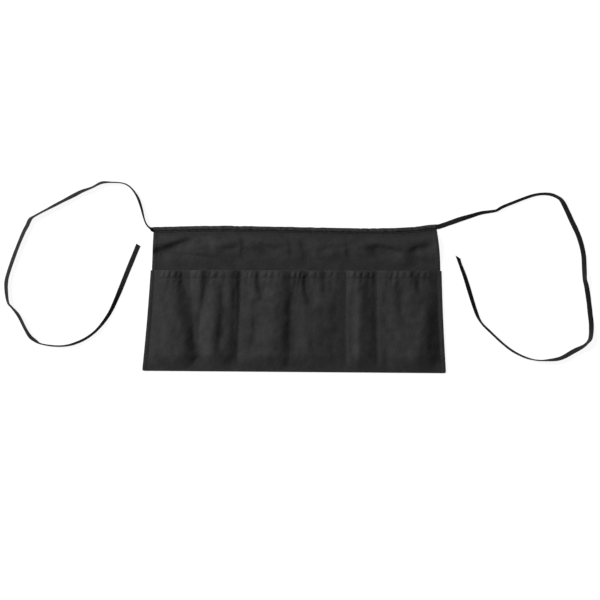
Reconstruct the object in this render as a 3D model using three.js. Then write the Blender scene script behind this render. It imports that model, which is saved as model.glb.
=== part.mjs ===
// Waist apron with four pockets, laid out flat with its ties spread to both sides.
// Millimetres, +Z up, +Y from the hem towards the waistband, +X to the right as seen from above.
// The origin lies on the surface under the middle of the apron without its ties.

import * as THREE from "three";
import { mergeVertices } from "three/addons/utils/BufferGeometryUtils.js";

// Outline of the apron
const hemWidth = 607;
const mouthWidth = 581;
const topWidth = 566;
const apronHeight = 297;
const pocketDepth = 200.6;
const pocketProud = 2.3;

// How far from square it lies
const hemTilt = 4.8;
const mouthTilt = 1.2;
const topDip = 8;
const mouthLean = 4.1;
const topLean = 2.1;
const sideBow = 1;
const yokeBow = 1.6;

// Cloth and tape
const clothWall = 1;
const hemFold = 0.6;
const seamGap = 0.3;
const sideHem = 9;
const mouthHem = 15;
const foldStep = 1;
const seamWidth = 3;
const tapeWidth = 10;
const tapeThick = 1.4;
const bandWall = 1;

// Loft of the pockets above the body, and of the yoke above the surface
const mouthLoftShare = 0.78;
const riseShare = 0.42;
const archPower = 2.8;
const yokeLoft = 2.2;
const bandRamp = 16;
const puckerPitch = 15;
const puckerHeight = 0.5;

// Upright seams: place across as a share of the pocket panel's width, from its left side
const seams = [0.31, 0.67, 0.775];

// Pockets from left to right, each with the height of its crown
const pockets = [
  { name: "left", crown: 9.5 },
  { name: "centre", crown: 10.5 },
  { name: "pencil", crown: 7.4 },
  { name: "right", crown: 9.5 },
];

// Dip of the top edge along the waistband: shares of its width, and of topDip
const topEdge = [
  { across: 0, dip: 0.69 },
  { across: 0.1, dip: 0.5 },
  { across: 0.2, dip: 0.35 },
  { across: 0.31, dip: 0.4 },
  { across: 0.45, dip: 0.6 },
  { across: 0.6, dip: 0.83 },
  { across: 0.7, dip: 0.96 },
  { across: 0.78, dip: 1 },
  { across: 0.87, dip: 0.87 },
  { across: 0.93, dip: 0.56 },
  { across: 0.97, dip: 0.16 },
  { across: 1, dip: 0 },
];

// Folds of the pocket panel: ends as shares across and up the panel, the half width as a share of
// hemWidth, and the depth as a share of the tallest crown, below zero for a valley
const pocketFolds = [
  { x0: 0.095, y0: 1, x1: 0.135, y1: 0.7, half: 0.014, depth: -0.2 },
  { x0: 0.135, y0: 0.7, x1: 0.17, y1: 0.03, half: 0.02, depth: -0.26 },
  { x0: 0.15, y0: 0.92, x1: 0.165, y1: 0.6, half: 0.018, depth: 0.18 },
  { x0: 0.195, y0: 1, x1: 0.182, y1: 0.45, half: 0.012, depth: -0.2 },
  { x0: 0.24, y0: 0.83, x1: 0.245, y1: 0.33, half: 0.014, depth: -0.1 },
  { x0: 0.373, y0: 0.95, x1: 0.386, y1: 0.78, half: 0.01, depth: -0.12 },
  { x0: 0.355, y0: 0.69, x1: 0.438, y1: 0.58, half: 0.012, depth: -0.08 },
  { x0: 0.48, y0: 0.86, x1: 0.48, y1: 0.08, half: 0.024, depth: -0.26 },
  { x0: 0.532, y0: 0.95, x1: 0.56, y1: 0.64, half: 0.012, depth: -0.18 },
  { x0: 0.597, y0: 0.93, x1: 0.607, y1: 0.79, half: 0.009, depth: -0.1 },
  { x0: 0.7, y0: 0.8, x1: 0.712, y1: 0.05, half: 0.012, depth: 0.1 },
  { x0: 0.742, y0: 0.6, x1: 0.746, y1: 0.02, half: 0.02, depth: -0.16 },
  { x0: 0.86, y0: 0.9, x1: 0.88, y1: 0.4, half: 0.04, depth: 0.14 },
  { x0: 0.97, y0: 0.5, x1: 0.925, y1: 0.05, half: 0.026, depth: -0.24 },
];

// Creases of the yoke: ends as shares across it and up it, the half width as a share of hemWidth,
// and the depth as a share of yokeLoft, below zero for a valley
const yokeCreases = [
  { x0: 0.03, y0: 0.5, x1: 0.15, y1: 0.92, half: 0.009, depth: -0.9 },
  { x0: 0.04, y0: 0.36, x1: 0.28, y1: 0.2, half: 0.012, depth: 0.55 },
  { x0: 0.2, y0: 0.6, x1: 0.3, y1: 0.8, half: 0.014, depth: 0.5 },
  { x0: 0.35, y0: 0.64, x1: 0.46, y1: 0.36, half: 0.011, depth: -0.7 },
  { x0: 0.47, y0: 0.85, x1: 0.5, y1: 0.4, half: 0.014, depth: 0.45 },
  { x0: 0.51, y0: 0.95, x1: 0.545, y1: 0.1, half: 0.01, depth: -0.5 },
  { x0: 0.58, y0: 0.2, x1: 0.66, y1: 0.3, half: 0.012, depth: 0.5 },
  { x0: 0.74, y0: 0.52, x1: 0.87, y1: 0.42, half: 0.01, depth: -0.9 },
  { x0: 0.9, y0: 0.56, x1: 0.98, y1: 0.7, half: 0.01, depth: -0.7 },
  { x0: 0.85, y0: 0.14, x1: 0.98, y1: 0.2, half: 0.01, depth: 0.7 },
];

// Routes of the ties from the ends of the waistband, lying loose on the surface.
// Columns: x and y from the exit, and the tape's roll in degrees (0 flat, 90 on its edge).
const leftRoute = [
  [0, 0, 0], [-4, 2, 35], [-10, 6, 72], [-15, 13, 84], [-19, 24, 84], [-24, 44, 77], [-32, 66, 77],
  [-46, 85, 87], [-60, 93, 89], [-84, 95, 90], [-104, 94, 76], [-122, 85, 83], [-143, 77, 68],
  [-155, 71, 62], [-186, 55, 72], [-222, 36, 82], [-240, 26, 82], [-247, 20, 66], [-252, 9, 62],
  [-259, -4, 64], [-275, -43, 65], [-289, -83, 65], [-294, -103, 60], [-294, -124, 64],
  [-290, -147, 80], [-284, -154, 84], [-270, -171, 74], [-255, -200, 68], [-246, -214, 62],
  [-234, -223, 76], [-225, -228, 86], [-200, -232, 86], [-179, -232, 86], [-160, -228, 79],
  [-135, -217, 76], [-112, -199, 72], [-89, -169, 62], [-74, -138, 50], [-51, -81, 26],
  [-30, -30, 0],
];
const rightRoute = [
  [0, 0, 0], [8, 2, 12], [28, 9, 28], [48, 16, 43], [68, 22, 60], [88, 28, 67], [108, 31, 71],
  [119, 33, 76], [129, 39, 72], [148, 47, 72], [188, 62, 74], [208, 66, 75], [228, 65, 74],
  [244, 58, 70], [250, 52, 60], [257, 40, 33], [269, 14, 12], [284, -19, 22], [293, -53, 34],
  [295, -86, 42], [296, -106, 58], [299, -117, 45], [303, -141, 22], [307, -176, 24],
  [309, -197, 34], [307, -222, 50], [301, -231, 58], [293, -238, 62], [274, -248, 52],
  [248, -262, 64], [224, -266, 82], [199, -266, 88], [173, -259, 78], [143, -242, 78],
  [103, -206, 79], [88, -190, 74], [78, -169, 50], [56, -99, 58], [47, -75, 66], [42, -60, 62],
];

// Grid of the faceted cloth: cells for a whole width, and rows for each zone
const pocketCells = 116;
const pocketRows = 9;
const bodyCells = 56;
const yokeRows = 8;
const bandSteps = 60;

// Colours from the photograph
const blackCloth = 0x2d2d2e;
const blackTape = 0x2a2a2b;

const bandThick = 2 * bandWall + 2 * seamGap + clothWall;
const bodyLift = bandWall + seamGap;
const tallestCrown = Math.max(...pockets.map((pocket) => pocket.crown));
const lowestEdge = -apronHeight / 2;
const highestEdge = apronHeight / 2;

function clamp01(value) {
  return Math.min(1, Math.max(0, value));
}

function smooth(value) {
  const t = clamp01(value);
  return t * t * (3 - 2 * t);
}

// Smooth line through the rows of a table, by cubic pieces whose slopes are the rows' mean slopes
function alongTable(rows, key, value, at) {
  const last = rows.length - 1;
  let i = 0;
  while (i < last - 1 && rows[i + 1][key] < at) {
    i += 1;
  }
  const slope = (a, b) => (rows[b][value] - rows[a][value]) / (rows[b][key] - rows[a][key]);
  const span = rows[i + 1][key] - rows[i][key];
  const t = clamp01((at - rows[i][key]) / span);
  const startSlope = slope(Math.max(0, i - 1), i + 1) * span;
  const endSlope = slope(i, Math.min(last, i + 2)) * span;
  const rise = rows[i + 1][value] - rows[i][value];
  return rows[i][value] + t * startSlope + t * t * (3 * rise - 2 * startSlope - endSlope)
    + t * t * t * (startSlope + endSlope - 2 * rise);
}

// Heights up the sheet of the hem, the pocket mouth and the top edge, at a share across
function hemY(across) {
  return lowestEdge + hemTilt * (1 - across);
}

function mouthY(across) {
  return lowestEdge + hemTilt + pocketDepth - mouthTilt * across;
}

function topY(across) {
  return highestEdge - topDip * alongTable(topEdge, "across", "dip", across);
}

// The foot of the waistband, and the edge of the cloth inside its fold
function footY(across) {
  return topY(across) - tapeWidth - seamGap;
}

function edgeY(across) {
  return topY(across) - bandWall - seamGap;
}

// Sides of the pocket zone and of the yoke, at a share up the zone
function pocketX(across, up, inset) {
  const width = hemWidth + (mouthWidth - hemWidth) * up - 2 * sideBow * Math.sin(Math.PI * up);
  return mouthLean * up + (across - 0.5) * (width - 2 * inset);
}

function yokeX(across, up) {
  const start = mouthWidth - 2 * pocketProud;
  const width = start + (topWidth - start) * up;
  const lean = mouthLean + (topLean - mouthLean) * up;
  return lean + (across - 0.5) * width + across * yokeBow * Math.sin(Math.PI * up);
}

// Height of a set of folds: a round-topped ridge or valley along each line, faded at its ends
function foldHeight(folds, across, up, span) {
  return folds.reduce((sum, fold) => {
    const length = Math.hypot((fold.x1 - fold.x0) * hemWidth, (fold.y1 - fold.y0) * span);
    const alongX = (fold.x1 - fold.x0) * hemWidth / length;
    const alongY = (fold.y1 - fold.y0) * span / length;
    const dx = (across - fold.x0) * hemWidth;
    const dy = (up - fold.y0) * span;
    const along = clamp01((dx * alongX + dy * alongY) / length);
    const off = Math.hypot(dx - along * length * alongX, dy - along * length * alongY);
    const fade = 0.35 + 0.65 * Math.sin(Math.PI * along);
    return sum + fold.depth * fade * Math.exp(-((off / (fold.half * hemWidth)) ** 2));
  }, 0);
}

// Extra thickness where the cloth is folded over into a hem, at a distance from its edge
function foldAt(distance, hem) {
  return hemFold * clamp01((hem - distance) / foldStep);
}

function sideFold(across) {
  return foldAt(Math.min(across, 1 - across) * hemWidth, sideHem);
}

// Underside of the yoke at a share up it: flat where the pockets start, then wrinkled, then raised
// to the slot of the waistband
function yokeUnder(across, up) {
  const yokeHeight = footY(across) - mouthY(across);
  const swell = Math.sin(Math.PI * up);
  const folds = foldHeight(yokeCreases, across, up, yokeHeight);
  const wrinkled = yokeLoft * (0.5 * swell + 0.5 * swell * swell + folds);
  const calm = smooth(up * yokeHeight / bandRamp) * smooth((1 - up) * yokeHeight / bandRamp);
  const raised = smooth(1 - (1 - up) * yokeHeight / bandRamp);
  return Math.max(0, wrinkled * calm) * (1 - raised) + bodyLift * raised;
}

// Rise of the pocket panel above its seat: a crown between each two seams, with the folds
function pocketLoft(across, up) {
  const edges = [0, ...seams, 1];
  const i = Math.max(0, edges.findIndex((edge) => across < edge) - 1);
  const index = across >= 1 ? pockets.length - 1 : i;
  const seamShare = seamWidth / 2 / hemWidth;
  const left = index === 0 ? sideHem / hemWidth : edges[index] + seamShare;
  const right = index === pockets.length - 1 ? 1 - sideHem / hemWidth : edges[index + 1] - seamShare;
  const t = clamp01((across - left) / (right - left));
  const arch = 1 - Math.abs(2 * t - 1) ** archPower;
  const rise = smooth(up / riseShare) * (1 - (1 - mouthLoftShare) * smooth((up - 0.6) / 0.4));
  const folds = tallestCrown * foldHeight(pocketFolds, across, up, pocketDepth);
  const upFromMouth = (1 - up) * pocketDepth;
  const pucker = puckerHeight * smooth(1 - Math.abs(upFromMouth - mouthHem) / mouthHem)
    * Math.sin(2 * Math.PI * across * hemWidth / puckerPitch);
  return Math.max(0, (pockets[index].crown * rise + folds * Math.sqrt(rise) + pucker * rise) * arch);
}

// Shares from 0 to 1 with a line at every mark and even cells between the marks
function gridShares(marks, cells) {
  const shares = [];
  for (let i = 0; i < marks.length - 1; i += 1) {
    const span = marks[i + 1] - marks[i];
    const count = Math.max(1, Math.round(span * cells));
    for (let k = 0; k < count; k += 1) {
      shares.push(marks[i] + span * k / count);
    }
  }
  return [...shares, 1];
}

// A mesh of one piece, closed by merging the vertices its faces share
function pieceMesh(name, geometry, color, roughness) {
  geometry.deleteAttribute("normal");
  geometry.deleteAttribute("uv");
  const closed = mergeVertices(geometry);
  return (place) => {
    const position = closed.attributes.position;
    const point = new THREE.Vector3();
    for (let i = 0; i < position.count; i += 1) {
      point.fromBufferAttribute(position, i);
      position.setXYZ(i, ...place(point));
    }
    closed.computeVertexNormals();
    const material = new THREE.MeshStandardMaterial({ color, roughness, metalness: 0 });
    const mesh = new THREE.Mesh(closed, material);
    mesh.name = name;
    return mesh;
  };
}

// A sheet of cloth: a flat block whose grid lines lie at the given shares, laid out by place
function clothMesh(name, columns, rows, place) {
  const columnCells = columns.length - 1;
  const rowCells = rows.length - 1;
  const block = new THREE.BoxGeometry(1, 1, 1, columnCells, rowCells, 1);
  return pieceMesh(name, block, blackCloth, 0.9)((point) => {
    const across = columns[Math.round((point.x + 0.5) * columnCells)];
    const up = rows[Math.round((point.y + 0.5) * rowCells)];
    return place(across, up, point.z > 0);
  });
}

// Back cloth in three zones, one above the other: under the pockets, the yoke, and inside the band
function makeBodyPanel() {
  const hemShare = sideHem / hemWidth;
  const stepShare = (sideHem - foldStep) / hemWidth;
  const columns = gridShares([0, stepShare, hemShare, 1 - hemShare, 1 - stepShare, 1], bodyCells);
  const edges = [hemY, mouthY, footY, edgeY];
  const zones = [1, yokeRows, 1];
  const rows = zones.flatMap((count, zone) => Array.from({ length: count }, (_, k) => zone + k / count));
  return clothMesh("body_panel", columns, [...rows, zones.length], (across, row, upper) => {
    const zone = Math.min(Math.floor(row), zones.length - 1);
    const share = row - zone;
    const from = edges[zone](across);
    const y = from + (edges[zone + 1](across) - from) * share;
    const x = zone === 0 ? pocketX(across, share, pocketProud) : yokeX(across, zone === 1 ? share : 1);
    const under = [0, yokeUnder(across, share), bodyLift][zone];
    const folded = zone === 1 && share > 0;
    return [x, y, under + (upper ? clothWall + (folded ? sideFold(across) : 0) : 0)];
  });
}

// Pocket cloth: sewn down at the sides, the bottom and the seams, lofted between them
function makePocketPanel() {
  const hemShare = sideHem / hemWidth;
  const stepShare = (sideHem - foldStep) / hemWidth;
  const half = seamWidth / 2 / hemWidth;
  const seamMarks = seams.flatMap((seam) => [seam - half, seam + half]);
  const marks = [0, stepShare, hemShare, ...seamMarks, 1 - hemShare, 1 - stepShare, 1];
  const hemLine = 1 - mouthHem / pocketDepth;
  const rows = gridShares([0, hemLine, hemLine + foldStep / pocketDepth, 1], pocketRows);
  return clothMesh("pocket_panel", gridShares(marks, pocketCells), rows, (across, up, upper) => {
    const y = hemY(across) + (mouthY(across) - hemY(across)) * up;
    const fold = Math.max(sideFold(across), foldAt((1 - up) * pocketDepth, mouthHem));
    const under = clothWall + seamGap + pocketLoft(across, up);
    return [pocketX(across, up, 0), y, under + (upper ? clothWall + fold : 0)];
  });
}

// Folded tape over the top edge: a narrow U with a round fold, carried along the edge
function makeWaistband() {
  const round = bandThick / 2;
  const slotBottom = bandWall;
  const slotTop = bandThick - bandWall;
  const profile = new THREE.Shape();
  profile.moveTo(-tapeWidth, 0);
  profile.lineTo(-round / 2, 0);
  profile.lineTo(0, round / 2);
  profile.lineTo(0, bandThick - round / 2);
  profile.lineTo(-round / 2, bandThick);
  profile.lineTo(-tapeWidth, bandThick);
  profile.lineTo(-tapeWidth, slotTop);
  profile.lineTo(-bandWall, slotTop);
  profile.lineTo(-bandWall, slotBottom);
  profile.lineTo(-tapeWidth, slotBottom);
  const block = new THREE.ExtrudeGeometry(profile, { depth: 1, steps: bandSteps, bevelEnabled: false });
  return pieceMesh("waistband", block, blackTape, 0.85)((point) => {
    const across = point.z;
    return [yokeX(across, 1), topY(across) + point.x, point.y];
  });
}

// A flat tape with chamfered edges, carried along its route with the roll of each point
function makeTie(name, route, side) {
  const across = side > 0 ? 1 : 0;
  const exitX = yokeX(across, 1) + side * seamGap;
  const exitY = topY(across) - tapeWidth / 2;
  const halfWide = tapeWidth / 2;
  const halfThick = tapeThick / 2;
  const chamfer = tapeThick / 4;
  const section = new THREE.Shape([
    new THREE.Vector2(-halfWide, -halfThick + chamfer),
    new THREE.Vector2(-halfWide + chamfer, -halfThick),
    new THREE.Vector2(halfWide - chamfer, -halfThick),
    new THREE.Vector2(halfWide, -halfThick + chamfer),
    new THREE.Vector2(halfWide, halfThick - chamfer),
    new THREE.Vector2(halfWide - chamfer, halfThick),
    new THREE.Vector2(-halfWide + chamfer, halfThick),
    new THREE.Vector2(-halfWide, halfThick - chamfer),
  ]);
  const steps = route.length - 1;
  const stations = route.map(([x, y, roll], i) => {
    const before = route[Math.max(0, i - 1)];
    const after = route[Math.min(steps, i + 1)];
    const heading = i === 0 ? [side, 0] : [after[0] - before[0], after[1] - before[1]];
    const size = Math.hypot(...heading);
    const turn = THREE.MathUtils.degToRad(roll);
    const lying = halfWide * Math.sin(turn) + halfThick * Math.cos(turn);
    const centre = i === 0 ? bandThick / 2 : lying;
    return { x: exitX + x, y: exitY + y, z: centre, along: heading.map((n) => n / size), turn };
  });
  const block = new THREE.ExtrudeGeometry(section, { depth: 1, steps, bevelEnabled: false });
  return pieceMesh(name, block, blackTape, 0.85)((point) => {
    const { x, y, z, along, turn } = stations[Math.round(point.z * steps)];
    const out = point.x * Math.cos(turn) - point.y * Math.sin(turn);
    const lift = point.x * Math.sin(turn) + point.y * Math.cos(turn);
    return [x - along[1] * out, y + along[0] * out, z + lift];
  });
}

const apron = new THREE.Group();
apron.name = "waist_apron";
apron.add(makeBodyPanel());
apron.add(makePocketPanel());
apron.add(makeWaistband());
apron.add(makeTie("tie_left", leftRoute, -1));
apron.add(makeTie("tie_right", rightRoute, 1));

export default apron;
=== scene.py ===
# Short waist apron of black twill with four pockets, laid flat on a pale table, its two ties spread out.
# Metres, +Z up, +Y from the hem to the waistband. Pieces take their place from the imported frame.

import math
import bpy
import numpy as np
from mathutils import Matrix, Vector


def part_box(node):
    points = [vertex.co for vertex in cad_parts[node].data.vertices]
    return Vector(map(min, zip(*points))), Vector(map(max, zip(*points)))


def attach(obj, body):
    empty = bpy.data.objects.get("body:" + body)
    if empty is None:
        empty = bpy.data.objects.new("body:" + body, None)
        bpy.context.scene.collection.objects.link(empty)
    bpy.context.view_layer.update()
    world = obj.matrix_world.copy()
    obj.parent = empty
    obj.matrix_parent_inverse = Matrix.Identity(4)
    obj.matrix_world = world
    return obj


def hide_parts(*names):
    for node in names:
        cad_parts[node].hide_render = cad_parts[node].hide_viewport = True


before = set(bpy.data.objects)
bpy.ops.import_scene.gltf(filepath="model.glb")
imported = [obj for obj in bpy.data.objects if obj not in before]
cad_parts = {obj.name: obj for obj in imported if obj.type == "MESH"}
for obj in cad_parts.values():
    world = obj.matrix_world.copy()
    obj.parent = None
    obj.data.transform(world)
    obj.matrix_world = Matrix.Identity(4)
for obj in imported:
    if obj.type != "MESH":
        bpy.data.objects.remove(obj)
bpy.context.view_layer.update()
print("frame loaded:", ", ".join(sorted(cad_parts)))


# Shape helpers

def smooth(value):  # 3 t squared less 2 t cubed, with t held between 0 and 1
    t = np.clip(value, 0, 1)
    return t * t * (3 - 2 * t)


def bell(distance, half):  # 1 on the line, and e to the minus (distance over half) squared beside it
    return np.exp(-((distance / half) ** 2))


def unit(vectors):  # each vector over its own length
    return vectors / np.linalg.norm(vectors, axis=-1, keepdims=True)


# Smooth line through the rows of a table: cubic pieces, whose slope at a row is the rise from the row
# before it to the row after it, over the distance between those two
def throughRows(places, values, at):
    places, values = np.asarray(places, float), np.asarray(values, float)
    rows = np.arange(len(places))
    before, after = np.maximum(rows - 1, 0), np.minimum(rows + 1, len(places) - 1)
    slopes = (values[after] - values[before]) / (places[after] - places[before])
    i = np.clip(np.searchsorted(places, at) - 1, 0, len(places) - 2)
    span = places[i + 1] - places[i]
    t = np.clip((at - places[i]) / span, 0, 1)
    start, end, rise = slopes[i] * span, slopes[i + 1] * span, values[i + 1] - values[i]
    return values[i] + t * start + t**2 * (3 * rise - 2 * start - end) + t**3 * (start + end - 2 * rise)


# Noise from -1 to 1: random numbers on a lattice of the given cells, joined by smooth steps
def noise(x, y, cellX, cellY, seed):
    size = 97  # cells before the lattice repeats
    lattice = np.random.default_rng(seed).uniform(-1, 1, (size, size))
    i, j = np.floor(x / cellX).astype(int), np.floor(y / cellY).astype(int)
    tx, ty = smooth(x / cellX - i), smooth(y / cellY - j)

    def corner(a, b):
        return lattice[(i + a) % size, (j + b) % size]

    near = corner(0, 0) + (corner(1, 0) - corner(0, 0)) * tx
    far = corner(0, 1) + (corner(1, 1) - corner(0, 1)) * tx
    return near + (far - near) * ty


def ripple(x, cell, seed):  # noise along one line
    return noise(x, np.zeros_like(x), cell, 1, seed)


def wrinkles(x, y, look, seed):  # broad noise, and a share of finer noise on it
    fine = noise(x, y, *look["fineCell"], seed + 1)
    return noise(x, y, *look["wrinkleCell"], seed) + look["fineShare"] * fine


# Height of a set of creases. Each row is the parabola through three points (shares across and up), the
# half widths of its two sides and its height, below zero for a valley. Rows run downwards, with the
# left side first, or to the right, with the lower side first. Across the line the height dies away as
# a bell curve, and along it it fades in and out over a share of its length at each end.
crease = {"points": 17, "fade": 0.4}


def creaseHeight(rows, across, up, width, height):
    place = np.stack([across * width, up * height], axis=-1).reshape(-1, 1, 2)
    total = np.zeros(place.shape[0])
    t = np.linspace(0, 1, crease["points"])[:, None]
    for row in rows:
        start, middle, end = np.array(row[:6]).reshape(3, 2) * (width, height)
        curve = (1 - t) * (1 - 2 * t) * start + 4 * t * (1 - t) * middle + t * (2 * t - 1) * end
        step = np.diff(curve, axis=0)
        offset = place - curve[:-1]
        share = np.clip((offset * step).sum(-1) / (step**2).sum(-1), 0, 1)
        gap = offset - share[..., None] * step
        distance = np.linalg.norm(gap, axis=-1)
        k = distance.argmin(axis=1)
        pick = np.arange(len(k)), k
        along = (k + share[pick]) / len(step)
        turned = step[k, 0] * gap[pick][:, 1] - step[k, 1] * gap[pick][:, 0]
        half = np.where(turned > 0, row[7], row[6])
        fade = smooth(along / crease["fade"]) * smooth((1 - along) / crease["fade"])
        total += row[8] * fade * bell(distance[pick], half)
    return total.reshape(np.shape(across))


# Object and mesh helpers

def newObject(name, data):
    thing = bpy.data.objects.new(name, data)
    bpy.context.scene.collection.objects.link(thing)
    return thing


# A piece on the root body: its points, and sets of faces, each with the places of its corners on the weave
def newPiece(name, points, faceSets, material, wear=None):
    mesh = bpy.data.meshes.new(name)
    mesh.from_pydata(points.tolist(), [], [face for faces, _ in faceSets for face in faces.tolist()])
    corners = np.concatenate([uv.reshape(-1, 2) for _, uv in faceSets])
    mesh.uv_layers.new(name="weave").uv.foreach_set("vector", corners.astype(np.float32).ravel())
    if wear is not None:
        mesh.attributes.new("wear", "FLOAT", "POINT").data.foreach_set("value", wear.astype(np.float32))
    mesh.materials.append(material)
    mesh.shade_smooth()
    piece = newObject(name, mesh)
    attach(piece, "root")
    print(name, len(mesh.vertices), "points,", sum(len(faces) for faces, _ in faceSets), "faces")
    return piece


def normalsOf(grid):  # the step to the next column crossed with the step to the next row, at each point
    return unit(np.cross(np.gradient(grid, axis=1), np.gradient(grid, axis=0)))


# A grid of points as cloth: an upper and a lower layer a wall apart along the normals, joined round the
# rim through a third line, half a wall out, that makes the edge a round fold
def clothBlock(upper, wall, uv):
    rows, columns = upper.shape[:2]
    normals = normalsOf(upper)
    lower = upper - normals * wall
    index = np.arange(rows * columns).reshape(rows, columns)
    rim = np.concatenate([index[0], index[1:, -1], index[-1, -2::-1], index[-2:0:-1, 0]])
    flatUpper, flatLower, flatNormals = (grid.reshape(-1, 3) for grid in (upper, lower, normals))
    along = np.roll(flatUpper[rim], -1, axis=0) - np.roll(flatUpper[rim], 1, axis=0)
    outward = unit(np.cross(along, flatNormals[rim]))
    edge = (flatUpper[rim] + flatLower[rim]) / 2 + outward * wall / 2
    count = rows * columns
    corners = index[:-1, :-1], index[:-1, 1:], index[1:, 1:], index[1:, :-1]
    cells = np.stack(corners, axis=-1).reshape(-1, 4)
    following = np.roll(rim, -1)
    middle = 2 * count + np.arange(len(rim))
    middleNext = np.roll(middle, -1)
    faces = np.concatenate([
        cells,
        cells[:, ::-1] + count,
        np.stack([middle, middleNext, following, rim], axis=-1),
        np.stack([rim + count, following + count, middleNext, middle], axis=-1),
    ])
    flatUv = uv.reshape(-1, 2)
    allUv = np.concatenate([flatUv, flatUv, flatUv[rim]])
    return np.concatenate([flatUpper, flatLower, edge]), [(faces, allUv[faces])], rim


# A closed profile carried along a path: points[station, round]. Each ring is joined to the next, and
# the ends are closed by strips between the ring's first half and its second half, which mirrors it.
def carried(points, travelled):
    stations, around = points.shape[:2]
    index = np.arange(stations * around).reshape(stations, around)
    turned = np.roll(index, -1, axis=1)
    sides = np.stack([index[:-1], turned[:-1], turned[1:], index[1:]], axis=-1).reshape(-1, 4)
    girth = np.linalg.norm(np.roll(points, -1, axis=1) - points, axis=-1).mean(axis=0).cumsum()
    start, end = np.concatenate([[0], girth[:-1]]), girth
    shape = stations - 1, around

    def corner(along, about):
        return np.stack([np.broadcast_to(along[:, None], shape), np.broadcast_to(about, shape)], axis=-1)

    here, onward = travelled[:-1], travelled[1:]
    corners = corner(here, start), corner(here, end), corner(onward, end), corner(onward, start)
    uv = np.stack(corners, axis=2).reshape(-1, 4, 2)
    i = np.arange(around // 2 - 1)
    strip = np.stack([i, i + 1, around - 2 - i, around - 1 - i], axis=-1)
    capUv = np.stack([start[strip], np.zeros(strip.shape)], axis=-1)
    last = (stations - 1) * around
    return points.reshape(-1, 3), [(sides, uv), (strip[:, ::-1], capUv[:, ::-1]), (strip + last, capUv)]


# Materials

def linear(hexColour):  # sRGB hex to linear: below 0.04045 over 12.92, above it a power of 2.4
    values = np.array([int(hexColour[k:k + 2], 16) for k in (1, 3, 5)]) / 255
    return (*np.where(values <= 0.04045, values / 12.92, ((values + 0.055) / 1.055) ** 2.4), 1.0)


# Settings name or number a socket, or else name a property of the node. A colour mix has its colours in
# sockets 6 and 7 and its result in the third output, number 2.
def addNode(tree, kind, settings, links=()):
    node = tree.nodes.new("ShaderNode" + kind)
    for key, value in settings.items():
        if isinstance(key, int) or key in node.inputs:
            node.inputs[key].default_value = value
        else:
            setattr(node, key, value)
    for key, source in links:
        tree.links.new(source, node.inputs[key])
    return node.outputs


# Black poly-cotton, woven and piece-dyed: matt, faintly lit by its nap at a slant, a little greyer where
# it has rubbed. The tape is woven closer, so it looks darker and plainer. Twill is about 0.5 mm from rib
# to rib and tape 0.4 mm from thread to thread, both too fine for this picture, so they are drawn two to
# three times as coarse.
clothLook = {
    "darkDye": "#1b1b1c",
    "lightDye": "#262627",
    "rubbedDye": "#3a3a3b",
    "ribPitch": 0.0014,
    "ribTurn": 45,
    "threadPitch": 0.0011,
    "threadWander": 0.8,
    "ribHeight": 0.00012,
    "mottle": 0.022,
    "crumple": 0.006,
    "crumpleHeight": 0.0011,
    "roughness": (0.72, 0.86),
    "specular": 0.2,
    "sheen": 0.05,
}
tapeLook = {
    **clothLook,
    "darkDye": "#151516",
    "lightDye": "#1d1d1e",
    "ribPitch": 0.0012,
    "ribTurn": 0,
    "threadPitch": 0.0009,
    "mottle": 0.009,
    "crumple": 0.004,
    "crumpleHeight": 0.0003,
    "specular": 0.12,
    "sheen": 0.02,
}
threadLook = {
    "darkDye": "#111112",
    "lightDye": "#1a1a1b",
    "plyPitch": 0.0007,
    "plyTurn": 30,
    "plyHeight": 0.0001,
    "roughness": 0.6,
    "specular": 0.4,
}
waveTurn = 2 * math.pi / 20  # a wave texture of scale 1 repeats after this length


def emptyMaterial(name):
    material = bpy.data.materials.new(name)
    material.use_nodes = True
    material.node_tree.nodes.clear()
    return material


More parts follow.
